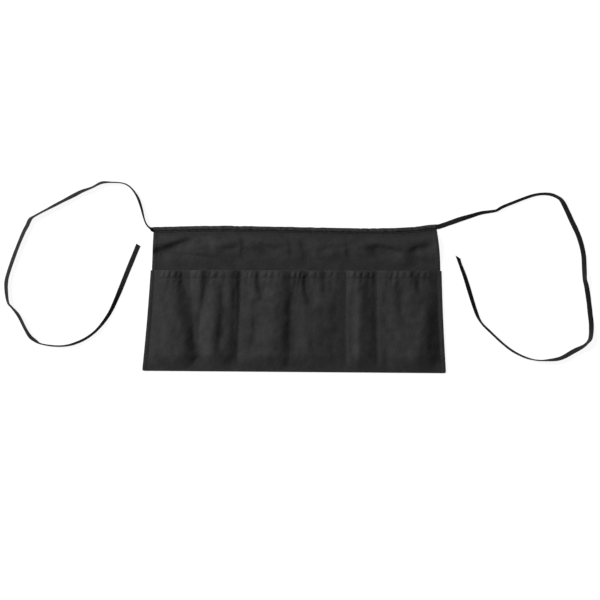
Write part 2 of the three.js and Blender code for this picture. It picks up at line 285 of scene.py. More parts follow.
# The weave is its ribs times its threads, and sets roughness and fine bump. Broad noise spreads the dye
# from dark to light, wear times that noise rubs it greyer, and a smaller noise crumples the cloth.
def wovenMaterial(name, look):
    material = emptyMaterial(name)
    tree = material.node_tree
    place = addNode(tree, "UVMap", {"uv_map": "weave"})["UV"]
    slanted = addNode(tree, "Mapping", {"Rotation": (0, 0, math.radians(look["ribTurn"]))},
                      [("Vector", place)])["Vector"]
    ribs = addNode(tree, "TexWave",
                   {"bands_direction": "X", "Scale": waveTurn / look["ribPitch"],
                    "Distortion": look["threadWander"], "Detail": 1.0}, [("Vector", slanted)])["Fac"]
    threads = addNode(tree, "TexWave",
                      {"bands_direction": "Y", "Scale": waveTurn / look["threadPitch"],
                       "Distortion": look["threadWander"], "Detail": 1.0}, [("Vector", place)])["Fac"]
    weave = addNode(tree, "Math", {"operation": "MULTIPLY"}, [(0, ribs), (1, threads)])["Value"]
    mottle = addNode(tree, "TexNoise", {"Scale": 1 / look["mottle"], "Detail": 5.0, "Roughness": 0.6},
                     [("Vector", place)])["Fac"]
    spread = addNode(tree, "MapRange", {"From Min": 0.3, "From Max": 0.7}, [("Value", mottle)])["Result"]
    dyed = addNode(tree, "Mix", {"data_type": "RGBA", 6: linear(look["darkDye"]),
                                 7: linear(look["lightDye"])}, [(0, spread)])[2]
    wear = addNode(tree, "Attribute", {"attribute_name": "wear"})["Fac"]
    rubbed = addNode(tree, "Math", {"operation": "MULTIPLY", "use_clamp": True},
                     [(0, wear), (1, spread)])["Value"]
    colour = addNode(tree, "Mix", {"data_type": "RGBA", 7: linear(look["rubbedDye"])},
                     [(0, rubbed), (6, dyed)])[2]
    rough = addNode(tree, "MapRange", {"To Min": look["roughness"][0], "To Max": look["roughness"][1]},
                    [("Value", weave)])["Result"]
    crumple = addNode(tree, "TexNoise", {"Scale": 1 / look["crumple"], "Detail": 3.0},
                      [("Vector", place)])["Fac"]
    soft = addNode(tree, "Bump", {"Strength": 0.5, "Distance": look["crumpleHeight"]},
                   [("Height", crumple)])["Normal"]
    fine = addNode(tree, "Bump", {"Strength": 0.6, "Distance": look["ribHeight"]},
                   [("Height", weave), ("Normal", soft)])["Normal"]
    shader = addNode(tree, "BsdfPrincipled",
                     {"IOR": 1.5, "Specular IOR Level": look["specular"], "Sheen Weight": look["sheen"],
                      "Sheen Roughness": 0.5},
                     [("Base Color", colour), ("Roughness", rough), ("Normal", fine)])["BSDF"]
    addNode(tree, "OutputMaterial", {}, [("Surface", shader)])
    return material


# Black polyester sewing thread, spun and twisted: smoother than the cloth, so each stitch holds a small
# soft light. Its plies wind round it every 0.3 mm or so, drawn wider to show.
def threadMaterial(name, look):
    material = emptyMaterial(name)
    tree = material.node_tree
    place = addNode(tree, "UVMap", {"uv_map": "weave"})["UV"]
    slanted = addNode(tree, "Mapping", {"Rotation": (0, 0, math.radians(look["plyTurn"]))},
                      [("Vector", place)])["Vector"]
    plies = addNode(tree, "TexWave", {"bands_direction": "X", "Scale": waveTurn / look["plyPitch"]},
                    [("Vector", slanted)])["Fac"]
    colour = addNode(tree, "Mix", {"data_type": "RGBA", 6: linear(look["darkDye"]),
                                   7: linear(look["lightDye"])}, [(0, plies)])[2]
    twisted = addNode(tree, "Bump", {"Strength": 0.5, "Distance": look["plyHeight"]},
                      [("Height", plies)])["Normal"]
    shader = addNode(tree, "BsdfPrincipled",
                     {"IOR": 1.5, "Specular IOR Level": look["specular"], "Roughness": look["roughness"]},
                     [("Base Color", colour), ("Normal", twisted)])["BSDF"]
    addNode(tree, "OutputMaterial", {}, [("Surface", shader)])
    return material


twill = wovenMaterial("black_poly_cotton_twill", clothLook)
foldedTape = wovenMaterial("black_woven_tape", tapeLook)
thread = threadMaterial("black_sewing_thread", threadLook)
print("materials ready")


# Camera, straight above as in the photograph. Its 600 pixels cover this width of the table, from a height
# of the width times the lens over the sensor.

view = {"width": 1.2, "lens": 180, "sensor": 36, "aim": (0.0118, -0.0023), "farthest": 50}

camera = newObject("camera", bpy.data.cameras.new("camera"))
camera.data.lens = view["lens"]
camera.data.sensor_width = view["sensor"]
camera.data.clip_end = view["farthest"]
camera.location = (*view["aim"], view["width"] * view["lens"] / view["sensor"])
bpy.context.scene.camera = camera


# Outline of the apron, in shares across it and up each zone

bandLow, bandHigh = (np.array(corner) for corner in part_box("waistband"))
pocketLow, pocketHigh = (np.array(corner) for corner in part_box("pocket_panel"))

apron = {
    "hemWidth": pocketHigh[0] - pocketLow[0],
    "mouthWidth": 0.581,
    "topWidth": bandHigh[0] - bandLow[0],
    "pocketDepth": 0.2006,
    "pocketProud": 0.0023,  # how far the pocket cloth stands out past the body cloth at each side
    "lowest": pocketLow[1],
    "highest": bandHigh[1],
    "hemTilt": 0.0048,
    "mouthTilt": 0.0012,
    "topDip": 0.008,
    "mouthLean": 0.0041,
    "topLean": 0.0021,
    "sideBow": 0.001,
    "yokeBow": 0.0016,
    "cornerRound": 0.0035,
    "clothWall": 0.0007,
    "hemFold": 0.0006,
    "sideHem": 0.009,
    "seamGap": 0.0003,
    "rubWidth": 0.0015,
    "tapeWidth": 0.01,
    "tapeThick": 0.0014,
    "bandThick": bandHigh[2] - bandLow[2],
    "bodyTop": 0.001,  # height of the body cloth's face where it lies flat
    "pocketSeat": 0.0023,  # height of the pocket cloth's face where it is sewn down
}

# Dip of the top edge along the waistband: shares of its width, and of topDip
topPlaces = [0, 0.1, 0.2, 0.31, 0.45, 0.6, 0.7, 0.78, 0.87, 0.93, 0.97, 1]
topDips = [0.69, 0.5, 0.35, 0.4, 0.6, 0.83, 0.96, 1, 0.87, 0.56, 0.16, 0]


def hemY(across):  # the bottom edge, a tilt higher at the left
    return apron["lowest"] + apron["hemTilt"] * (1 - across)


def mouthY(across):  # the mouth of the pockets, a tilt lower at the right
    return apron["lowest"] + apron["hemTilt"] + apron["pocketDepth"] - apron["mouthTilt"] * across


def topY(across):  # the top edge, lowered by its share of the dip
    return apron["highest"] - apron["topDip"] * throughRows(topPlaces, topDips, across)


def footY(across):  # a gap below the waistband, which is as deep as the tape is wide
    return topY(across) - apron["tapeWidth"] - apron["seamGap"]


# Across the pocket zone: the middle leans from hem to mouth, the width runs from hem to mouth less a
# slight inward bow of the sides, and the bottom corners are drawn in by a quarter circle
def pocketX(across, up, inset):
    width = apron["hemWidth"] + (apron["mouthWidth"] - apron["hemWidth"]) * up
    width = width - 2 * apron["sideBow"] * np.sin(np.pi * up) - 2 * inset
    radius = apron["cornerRound"]
    inside = np.clip(radius - up * apron["pocketDepth"], 0, radius)
    width = width - 2 * (radius - np.sqrt(radius**2 - inside**2))
    return apron["mouthLean"] * up + (across - 0.5) * width


# Across the yoke: it leans and narrows on to the waistband, and its right side bows out a little
def yokeX(across, up):
    start = apron["mouthWidth"] - 2 * apron["pocketProud"]
    width = start + (apron["topWidth"] - start) * up
    lean = apron["mouthLean"] + (apron["topLean"] - apron["mouthLean"]) * up
    return lean + (across - 0.5) * width + across * apron["yokeBow"] * np.sin(np.pi * up)


def sideDistance(across):  # metres to the nearer side, at the width of the hem
    return np.minimum(across, 1 - across) * apron["hemWidth"]


# Ties: folded tape lying loose, turned towards its edge and back. Columns of a route: x and y from the
# exit in metres, and the roll in degrees (0 flat, 90 on its edge). The tape is drawn flatter than its
# roll, turned by rollGain times the roll less rollLess, between 0 and the steepest turn: the bright table
# eats the edges of so thin a dark strip, and turned like this it comes out as wide as it should.

leftRoute = np.array([
    (0, 0, 0), (-0.004, 0.002, 72), (-0.01, 0.006, 86), (-0.015, 0.013, 87), (-0.019, 0.024, 86),
    (-0.024, 0.044, 80), (-0.032, 0.066, 80), (-0.046, 0.085, 88), (-0.06, 0.093, 90),
    (-0.084, 0.095, 86), (-0.104, 0.094, 72), (-0.122, 0.085, 79), (-0.143, 0.077, 65),
    (-0.155, 0.071, 60), (-0.186, 0.055, 72), (-0.222, 0.036, 79), (-0.24, 0.026, 79),
    (-0.247, 0.02, 61), (-0.252, 0.009, 61), (-0.259, -0.004, 64), (-0.275, -0.043, 61),
    (-0.289, -0.083, 61), (-0.294, -0.103, 59), (-0.294, -0.124, 64), (-0.29, -0.147, 75),
    (-0.284, -0.154, 77), (-0.27, -0.171, 68), (-0.255, -0.2, 65), (-0.246, -0.214, 60),
    (-0.234, -0.223, 70), (-0.225, -0.228, 87), (-0.2, -0.232, 86), (-0.179, -0.232, 84),
    (-0.16, -0.228, 78), (-0.135, -0.217, 76), (-0.112, -0.199, 76), (-0.089, -0.169, 66),
    (-0.074, -0.138, 55), (-0.051, -0.081, 26), (-0.03, -0.03, 0),
])
rightRoute = np.array([
    (0, 0, 0), (0.008, 0.002, 12), (0.028, 0.009, 28), (0.048, 0.016, 43), (0.068, 0.022, 60),
    (0.088, 0.028, 67), (0.108, 0.031, 71), (0.119, 0.033, 76), (0.129, 0.039, 72),
    (0.148, 0.047, 72), (0.188, 0.062, 74), (0.208, 0.066, 75), (0.228, 0.065, 74),
    (0.244, 0.058, 70), (0.25, 0.052, 60), (0.257, 0.04, 33), (0.269, 0.014, 12),
    (0.284, -0.019, 22), (0.293, -0.053, 34), (0.295, -0.086, 42), (0.296, -0.106, 58),
    (0.299, -0.117, 45), (0.303, -0.141, 22), (0.307, -0.176, 24), (0.309, -0.197, 34),
    (0.307, -0.222, 62), (0.301, -0.231, 78), (0.293, -0.238, 70), (0.274, -0.248, 51),
    (0.248, -0.262, 64), (0.224, -0.266, 82), (0.199, -0.266, 91), (0.173, -0.259, 81),
    (0.143, -0.242, 79), (0.103, -0.206, 79), (0.088, -0.19, 80), (0.078, -0.169, 63),
    (0.056, -0.099, 57), (0.047, -0.075, 68), (0.042, -0.06, 62),
])

tie = {
    "stationGap": 0.003,
    "roundPoints": 9,
    "flare": 0.009,  # over this length the tape thins from the waistband's thickness to its own
    "rollGain": 1.35,
    "rollLess": 42.5,
    "rollSway": 4,
    "steepest": 79,
    "swayLength": 0.022,
    "calmLength": 0.03,  # the tape lies still over this length from the waistband
    "widthSway": 0.03,
    "widthSwayLength": 0.012,
    "edgePower": 0.4,  # below 1 the section is fuller than an ellipse
    # Grooves of the section, for the stitches and beside the inner ply: place and half width in shares
    # of the tape's half width, and depth in shares of its half thickness
    "grooves": [(0.62, 0.12, 0.16), (-0.8, 0.1, 0.1)],
    "edgeRub": 0.7,
    "edgeRubPower": 6,
    "stitchInset": 0.0018,
    "stitchPitch": 0.0032,
    "stitchLevel": 0.84,  # height of the stitches in the groove, as a share of the half thickness
    "cutLength": 0.012,
    "endSlant": {"tie_left": 0.15, "tie_right": 0.9},
}


# Stations along a route: its points joined smoothly by their distance along it, with the turn and the
# width swaying a little. The lower edge lies on the table, so the centre is as high as half the width times
# the sine of the turn plus half the thickness times its cosine.
def tieStations(name, route, exitPoint, side, seed):
    chord = np.concatenate([[0], np.linalg.norm(np.diff(route[:, :2], axis=0), axis=1).cumsum()])
    s = np.linspace(0, chord[-1], round(chord[-1] / tie["stationGap"]) + 1)
    x, y, roll = (throughRows(chord, route[:, k], s) for k in range(3))
    calm = smooth(s / tie["calmLength"])
    sway = tie["rollSway"] * ripple(s, tie["swayLength"], seed) * calm
    turn = np.radians(np.clip(tie["rollGain"] * roll - tie["rollLess"] + sway, 0, tie["steepest"]))
    thick = apron["tapeThick"] + (apron["bandThick"] - apron["tapeThick"]) * (1 - smooth(s / tie["flare"]))
    widthSway = tie["widthSway"] * ripple(s, tie["widthSwayLength"], seed + 1) * calm
    wide = apron["tapeWidth"] * (1 + widthSway)
    z = wide / 2 * np.sin(turn) + thick / 2 * np.cos(turn)
    centre = np.stack([exitPoint[0] + x, exitPoint[1] + y, z], axis=-1)
    centre[0, 0] -= side * apron["seamGap"]
    heading = np.gradient(centre[:, :2], s, axis=0)
    heading[0] = (side, 0)
    heading = unit(heading)
    level = np.zeros_like(s)
    sideways = np.stack([-heading[:, 1], heading[:, 0], level], axis=-1)
    forward = np.stack([heading[:, 0], heading[:, 1], level], axis=-1)
    upright = np.array([0, 0, 1.0])
    wideAxis = sideways * np.cos(turn)[:, None] + upright * np.sin(turn)[:, None]
    thickAxis = upright * np.cos(turn)[:, None] - sideways * np.sin(turn)[:, None]
    slant = smooth((s - s[-1] + tie["cutLength"]) / tie["cutLength"]) * tie["endSlant"][name]
    return {"s": s, "centre": centre, "wideAxis": wideAxis, "thickAxis": thickAxis, "forward": forward,
            "wide": wide, "thick": thick, "slant": slant}


# A point of the tape: the centre, plus a share of its half width and of its half thickness along its
# own two axes, and at its end pushed forward in proportion to the share across, so the cut is slanted
def tapePoint(stations, wideShare, thickShare):
    half = stations["wide"][:, None] / 2 * wideShare
    rise = stations["thick"][:, None] / 2 * thickShare
    return (stations["centre"][:, None] + stations["wideAxis"][:, None] * half[..., None]
            + stations["thickAxis"][:, None] * rise[..., None]
            + stations["forward"][:, None] * (stations["slant"][:, None] * half)[..., None])


# The section is the cosine across and a power of the sine above, less its grooves, and the same below
def makeTie(name, route, side, seed):
    across = 1.0 if side > 0 else 0.0
    exitPoint = np.array([yokeX(across, 1.0) + side * apron["seamGap"],
                          topY(across) - apron["tapeWidth"] / 2, apron["bandThick"] / 2])
    stations = tieStations(name, route, exitPoint, side, seed)
    angle = (np.arange(tie["roundPoints"]) + 0.5) / tie["roundPoints"] * np.pi
    out, above = np.cos(angle), np.sin(angle) ** tie["edgePower"]
    for place, half, depth in tie["grooves"]:
        above = above - depth * bell(out - place, half)
    around = np.concatenate([out, out[::-1]])
    ring = tapePoint(stations, around, np.concatenate([above, -above[::-1]]))
    points, faceSets = carried(ring, stations["s"])
    wear = np.tile(np.abs(around) ** tie["edgeRubPower"], len(stations["s"])) * tie["edgeRub"]
    tape = newPiece(name + "_tape", points, faceSets, foldedTape, wear)
    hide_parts(name)
    share = 1 - tie["stitchInset"] / (apron["tapeWidth"] / 2)
    rows = []
    sewn = slice(3, -2)  # the stations with stitches, clear of both ends
    for face in (1, -1):
        line = tapePoint(stations, np.array([share]), np.array([face * tie["stitchLevel"]]))[:, 0]
        rows.append((line[sewn], face * stations["thickAxis"][sewn]))
    stitches = makeStitches(name + "_stitches", rows, tie["stitchPitch"])


# Stitches: each is a short thread that swells from a point, arches over the cloth and dives in again. Its
# rings lie at fixed shares along it: the sine of that share of half a turn gives the arch, and a power of
# it the radius. All the stitches of a piece are one mesh.

stitch = {
    "cover": 0.72,  # share of the pitch that the thread covers
    "radius": 0.00028,
    "sides": 6,
    "arch": 0.00016,
    "rings": [0.1, 0.5, 0.9],
    "swellPower": 0.4,
}


def between(values, s, where):  # values of a line's points at other distances along it
    return np.stack([np.interp(where, s, values[:, k]) for k in range(3)], axis=-1)


def makeStitches(name, rows, pitch):
    starts, ends, normals = [], [], []
    for line, normal in rows:
        s = np.concatenate([[0], np.linalg.norm(np.diff(line, axis=0), axis=1).cumsum()])
        first = np.arange(0.5 * pitch, s[-1] - pitch, pitch)
        starts.append(between(line, s, first))
        ends.append(between(line, s, first + stitch["cover"] * pitch))
        normals.append(between(normal, s, first + 0.5 * stitch["cover"] * pitch))
    starts, ends, normals = np.concatenate(starts), np.concatenate(ends), unit(np.concatenate(normals))
    reach = ends - starts
    beside = unit(np.cross(normals, reach))
    t = np.array(stitch["rings"])
    phi = np.arange(stitch["sides"]) * 2 * np.pi / stitch["sides"]
    swell = stitch["radius"] * np.sin(np.pi * t) ** stitch["swellPower"]
    lift = stitch["arch"] * np.sin(np.pi * t)
    spine = starts[:, None] + reach[:, None] * t[:, None] + normals[:, None] * lift[:, None]
    outward = normals[:, None] * np.cos(phi)[:, None] + beside[:, None] * np.sin(phi)[:, None]
    rings = spine[:, :, None] + outward[:, None] * swell[:, None, None]
    tips = np.stack([starts, ends], axis=1)
    points = np.concatenate([rings.reshape(len(starts), -1, 3), tips], axis=1)
    sides, each = stitch["sides"], points.shape[1]
    index = np.arange(len(t) * sides).reshape(len(t), sides)
    turned = np.roll(index, -1, axis=1)
    quads = np.stack([index[:-1], index[1:], turned[1:], turned[:-1]], axis=-1).reshape(-1, 4)
    tip = np.full(sides, len(t) * sides)
    tipFaces = np.concatenate([np.stack([tip, index[0], turned[0]], axis=-1),
                               np.stack([tip + 1, turned[-1], index[-1]], axis=-1)])
    length = np.concatenate([np.repeat(t, sides), [0, 1]]) * pitch
    girth = np.concatenate([np.tile(phi, len(t)), [0, 0]]) * stitch["radius"]
    uv = np.stack([length, girth], axis=-1)
    shift = np.arange(len(starts))[:, None, None] * each
    faceSets = []
    for faces in (quads, tipFaces):
        repeated = np.broadcast_to(uv[faces], (len(starts), *faces.shape, 2))
        faceSets.append(((faces + shift).reshape(-1, faces.shape[-1]), repeated))
    return newPiece(name, points.reshape(-1, 3), faceSets, thread)


makeTie("tie_left", leftRoute, side=-1, seed=11)
makeTie("tie_right", rightRoute, side=1, seed=23)


# Pocket panel: sewn down at its sides, its bottom and three seams, and lofted between them

pocket = {
    "cells": 320,
    "rows": 112,
    "seams": [0.31, 0.67, 0.775],
    # Crown of each pocket: its height, the share across where it is, and how suddenly it falls to the
    # left and right seam
    "crowns": [(0.01, 0.47, 1.6, 4.5), (0.0092, 0.42, 1.7, 1.5), (0.0056, 0.4, 1.5, 1.6),
               (0.0088, 0.52, 1.5, 1.7)],
    "seamWidth": 0.003,
    "riseShare": 0.18,
    "mouthFall": 0.6,  # from this share up, the loft falls to its share at the mouth
    "mouthLoftShare": 0.78,
    "creaseFootPower": 0.3,
    "creaseReach": 1.5,  # the larger, the closer creases and puckers come to the seams
    "puckerReach": 2.5,
    "valleyShare": 0.1,  # what is kept of a valley below the height of the seams
    "mouthHem": 0.015,
    "bottomStitch": 0.003,
    "puckerPitch": 0.0145,
    "puckerSlant": 0.15,
    "pearlHeight": 0.002,
    # Drift and differences of the pearls, as shares of their pitch and height
    "pearl": {"drift": 0.45, "driftCell": 1.7, "power": 0.8, "mean": 0.65, "spread": 0.35,
              "spreadCell": 1.3},
    "puckerHeight": 0.0011,
    "puckerStart": 0.004,
    "puckerLength": 0.014,
    "wrinkleHeight": 0.0007,
    "wrinkleStart": 0.12,
    "wrinkleCell": (0.017, 0.045),
    "fineShare": 0.6,
    "fineCell": (0.01, 0.012),
    "columnEdge": 0.002,
    "rowEdge": 0.009,
    "rub": {"mouth": 0.3, "side": 0.5, "bottom": 0.35, "hem": 0.3},
    "hemRubInset": 0.003,
    "hemRubWidth": 0.0018,
}
# Folded hems of both panels: the width of the fold's edge, how far inside it the stitches lie, and their
# grooves
hemmed = {
    "foldEdge": 0.0012,
    "mouthInset": 0.0012,
    "mouthGroove": 0.0012,
    "sideInset": 0.0014,
    "sideGroove": 0.001,
    "pocketDepth": 0.0006,
    "bodyDepth": 0.0004,
}
# Columns as creaseHeight says: start, middle and end, the two half widths, and the height
pocketCreases = [
    (0.09, 1.7, 0.15, 0.6, 0.3, -1.2, 0.02, 0.018, -0.0096),
    (0.2, 1.3, 0.193, 0.82, 0.165, 0.25, 0.009, 0.03, -0.0056),
    (0.217, 0.817, 0.244, 0.83, 0.275, 0.832, 0.006, 0.004, -0.0012),
    (0.243, 1.0, 0.255, 0.54, 0.244, 0.05, 0.009, 0.014, -0.0034),
    (0.289, 0.9, 0.296, 0.629, 0.3, 0.1, 0.006, 0.01, -0.002),
    (0.366, 1.25, 0.376, 0.88, 0.396, 0.7, 0.008, 0.03, -0.0042),
    (0.34, 0.675, 0.382, 0.694, 0.437, 0.64, 0.01, 0.006, -0.002),
    (0.362, 0.66, 0.364, 0.36, 0.34, 0.05, 0.009, 0.016, -0.0034),
    (0.478, 1.15, 0.489, 0.5, 0.474, -0.3, 0.014, 0.03, -0.0068),
    (0.532, 1.3, 0.539, 0.86, 0.566, 0.6, 0.009, 0.024, -0.0058),
    (0.6, 1.25, 0.6, 0.88, 0.614, 0.7, 0.008, 0.02, -0.0034),
    (0.685, 0.91, 0.713, 0.84, 0.735, 0.89, 0.005, 0.005, 0.0013),
    (0.694, 0.9, 0.7, 0.4, 0.697, -0.4, 0.014, 0.008, -0.0016),
    (0.72, 0.78, 0.716, 0.27, 0.712, -0.5, 0.012, 0.03, 0.0008),
    (0.834, 1.1, 0.83, 0.95, 0.825, 0.86, 0.005, 0.01, -0.002),
    (0.862, 1.15, 0.862, 0.76, 0.868, 0.3, 0.012, 0.024, -0.0034),
    (0.914, 1.2, 0.919, 0.9, 0.932, 0.74, 0.008, 0.018, -0.0034),
    (0.996, 0.7, 0.93, 0.38, 0.905, -0.5, 0.018, 0.034, 0.0046),
    (0.8, 0.405, 0.823, 0.405, 0.85, 0.372, 0.007, 0.004, -0.0012),
    (0.79, 0.85, 0.796, 0.4, 0.79, -0.5, 0.008, 0.02, -0.003),
]


# Rounded bumps of uneven width with sharp creases between them, along a seam: the size of a drifting
# sine to a power, from 0 to 1
def pearls(x, pitch, seed):
    pearl = pocket["pearl"]
    phase = x / pitch + pearl["drift"] * ripple(x, pearl["driftCell"] * pitch, seed)
    size = pearl["mean"] + pearl["spread"] * ripple(x, pearl["spreadCell"] * pitch, seed + 1)
    return np.abs(np.sin(np.pi * phase)) ** pearl["power"] * size


# Height of the pocket cloth's face: a crown between each two seams, lower at the mouth, with the creases,
# pearls between the mouth and its stitches, puckers that fade below them as e to the minus distance over
# length, and wrinkles that run up and down. Across, the crown is 1 less a power of the share of the way
# from its peak to the seam.
def pocketHeight(across, up):
    edges = np.array([0, *pocket["seams"], 1])
    crowns, peaks, leftPowers, rightPowers = np.array(pocket["crowns"]).T
    index = np.clip(np.searchsorted(edges, across, side="right") - 1, 0, len(crowns) - 1)
    half, hem = pocket["seamWidth"] / 2 / apron["hemWidth"], apron["sideHem"] / apron["hemWidth"]
    left = edges[index] + np.where(index == 0, hem, half)
    right = edges[index + 1] - np.where(index == len(crowns) - 1, hem, half)
    t = np.clip((across - left) / (right - left), 0, 1)
    peak = peaks[index]
    arch = 1 - np.where(t < peak, (1 - t / peak).clip(0) ** leftPowers[index],
                        ((t - peak) / (1 - peak)).clip(0) ** rightPowers[index])
    fall = (1 - pocket["mouthLoftShare"]) * smooth((up - pocket["mouthFall"]) / (1 - pocket["mouthFall"]))
    rise = smooth(up / pocket["riseShare"]) * (1 - fall)
    x, fromMouth = across * apron["hemWidth"], (1 - up) * apron["pocketDepth"]
    creases = creaseHeight(pocketCreases, across, up, apron["hemWidth"], apron["pocketDepth"])
    below = fromMouth - pocket["mouthHem"]
    bump = pearls(x + pocket["puckerSlant"] * fromMouth, pocket["puckerPitch"], seed=3)
    pearled = pocket["pearlHeight"] * bump * np.sin(np.pi * np.clip(fromMouth / pocket["mouthHem"], 0, 1))
    fading = np.exp(-np.maximum(below, 0) / pocket["puckerLength"]) * smooth(below / pocket["puckerStart"])
    puckered = pocket["puckerHeight"] * bump * fading
    wrinkle = wrinkles(x, fromMouth, pocket, seed=5)
    wrinkled = pocket["wrinkleHeight"] * wrinkle * smooth(up / pocket["wrinkleStart"])
    creased = creases * rise ** pocket["creaseFootPower"] * smooth(pocket["creaseReach"] * arch)
    soft = smooth(pocket["puckerReach"] * arch)
    loft = crowns[index] * rise * arch + creased + (pearled + puckered) * soft + wrinkled * soft
    return apron["pocketSeat"] + np.maximum(loft, pocket["valleyShare"] * loft)


def foldOf(width, distance):  # 1 on a hem, 0 beside it, and one half at its fold's edge
    return smooth((width - distance) / hemmed["foldEdge"] + 0.5)


def sideGroove(side):  # a bell on the stitch line of a side hem
    return bell(side - apron["sideHem"] + hemmed["sideInset"], hemmed["sideGroove"])


# Folded hems stand up by a fold, and the stitch line on each is a groove about half a millimetre deep
def pocketSurface(across, up):
    side, fromMouth = sideDistance(across), (1 - up) * apron["pocketDepth"]
    fold = np.maximum(foldOf(apron["sideHem"], side), foldOf(pocket["mouthHem"], fromMouth))
    mouthGroove = bell(fromMouth - pocket["mouthHem"] + hemmed["mouthInset"], hemmed["mouthGroove"])
    groove = np.maximum(mouthGroove, sideGroove(side))
    z = pocketHeight(across, up) + apron["hemFold"] * fold - hemmed["pocketDepth"] * groove
    y = hemY(across) + (mouthY(across) - hemY(across)) * up
    return np.stack([pocketX(across, up, 0), y, z], axis=-1)


# Shares from 0 to 1: even steps, and a few close ones within the edge at both ends, for its round
closeSteps = np.array([0.15, 0.35, 0.65])


def gridLine(count, edge):
    near = edge * closeSteps
    return np.unique(np.concatenate([np.linspace(0, 1, count + 1), near, 1 - near]))


def makePanel(node, grid, uv, wear):  # the grid's wear holds for its upper and lower layer and its rim
    points, faceSets, rim = clothBlock(grid, apron["clothWall"], uv)
    wear = np.concatenate([wear.ravel(), wear.ravel(), wear.ravel()[rim]])
    cloth = newPiece(node + "_cloth", points, faceSets, twill, wear)
    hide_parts(node)
    return cloth


def makePocketPanel():
    columns = gridLine(pocket["cells"], pocket["columnEdge"])
    rows = gridLine(pocket["rows"], pocket["rowEdge"])
    up, across = np.meshgrid(rows, columns, indexing="ij")
    grid = pocketSurface(across, up)
    uv = np.stack([across * apron["hemWidth"], up * apron["pocketDepth"]], axis=-1)
    fromMouth, rub = (1 - up) * apron["pocketDepth"], pocket["rub"]
    wear = rub["mouth"] * bell(fromMouth, apron["rubWidth"])
    wear = wear + rub["side"] * bell(sideDistance(across), apron["rubWidth"])
    wear = wear + rub["bottom"] * bell(up * apron["pocketDepth"], apron["rubWidth"])
    fromHem = fromMouth - pocket["mouthHem"] + pocket["hemRubInset"]
    wear = np.clip(wear + rub["hem"] * bell(fromHem, pocket["hemRubWidth"]), 0, 1)
    cloth = makePanel("pocket_panel", grid, uv, wear)


# Body panel: flat under the pockets, wrinkled in the yoke, and raised into the waistband at its top

body = {
    "cells": 300,
    "flatRows": 30,
    "yokeRows": 66,
    "bandRows": 3,
    "yokeLoft": 0.0052,
    "yokeDepth": 0.0885,
    "mouthRamp": 0.05,
    "mouthPower": 0.7,
    "footRamp": 0.024,
    "bandRamp": 0.016,
    "bandLift": 0.0013,
    "valleyShare": 0.15,
    "wrinkleHeight": 0.0008,
    "wrinkleCell": (0.03, 0.012),
    "fineShare": 0.5,
    "fineCell": (0.012, 0.007),
    "hemFade": 12,  # the side hem's fold comes and goes within one of so many parts of the yoke
    "dimple": 0.00015,
    "dimpleCell": (0.03, 0.035),
    "columnEdge": 0.002,
    "flatEdge": 0.009,
    "yokeEdge": 0.01,
    "rub": 0.6,
}
yokeCreases = [
    (-0.14, 0.0, 0.07, 0.6, 0.26, 1.25, 0.02, 0.012, -0.0052),
    (-0.15, 0.15, 0.06, 0.76, 0.25, 1.4, 0.012, 0.02, 0.003),
    (0.0, 0.42, 0.144, 0.37, 0.29, 0.14, 0.014, 0.006, -0.0022),
    (0.02, 0.3, 0.16, 0.24, 0.3, 0.08, 0.009, 0.01, 0.0014),
    (0.14, 0.68, 0.185, 0.76, 0.223, 0.73, 0.01, 0.006, -0.0014),
    (0.19, 0.58, 0.25, 0.69, 0.31, 0.82, 0.01, 0.01, 0.0014),
    (0.228, 0.48, 0.276, 0.56, 0.314, 0.62, 0.012, 0.006, -0.0014),
    (0.317, 1.3, 0.315, 0.52, 0.315, -0.2, 0.005, 0.012, -0.0014),
    (0.33, 0.66, 0.411, 0.56, 0.476, 0.34, 0.018, 0.009, -0.004),
    (0.477, 1.1, 0.483, 0.54, 0.486, 0.1, 0.006, 0.014, -0.0014),
    (0.524, 1.3, 0.533, 0.49, 0.55, -0.2, 0.01, 0.024, -0.003),
    (0.535, 0.27, 0.593, 0.23, 0.655, 0.1, 0.012, 0.006, -0.0018),
    (0.563, 0.45, 0.594, 0.52, 0.626, 0.6, 0.01, 0.006, -0.0014),
    (0.682, 1.3, 0.681, 0.56, 0.681, -0.1, 0.004, 0.012, -0.0009),
    (0.688, 0.85, 0.713, 0.8, 0.736, 0.72, 0.008, 0.005, -0.0016),
    (0.735, 0.68, 0.805, 0.55, 0.885, 0.4, 0.02, 0.011, -0.0062),
    (0.81, 0.02, 0.864, 0.18, 0.935, 0.13, 0.006, 0.012, 0.0026),
    (0.885, 0.46, 0.938, 0.56, 1.0, 0.58, 0.014, 0.01, -0.0056),
    (0.87, 0.32, 0.955, 0.16, 1.08, -0.12, 0.014, 0.01, -0.0058),
]


# Height of the yoke's face over its share up: a low swell with creases and wrinkles, ramped up from the
# mouth of the pockets over mouthRamp and down again over footRamp towards the waistband, and then raised
# into the slot of the band
def yokeHeight(across, up):
    depth = footY(across) - mouthY(across)
    x, y = across * apron["hemWidth"], up * depth
    creases = creaseHeight(yokeCreases, across, up, apron["hemWidth"], body["yokeDepth"])
    wrinkled = body["wrinkleHeight"] * wrinkles(x, y, body, seed=7)
    ramp = smooth(y / body["mouthRamp"]) ** body["mouthPower"] * smooth((depth - y) / body["footRamp"])
    loft = (body["yokeLoft"] + creases + wrinkled) * ramp
    raised = smooth(1 - (depth - y) / body["bandRamp"])
    kept = np.maximum(loft, body["valleyShare"] * loft)
    return apron["bodyTop"] + kept * (1 - raised) + body["bandLift"] * raised


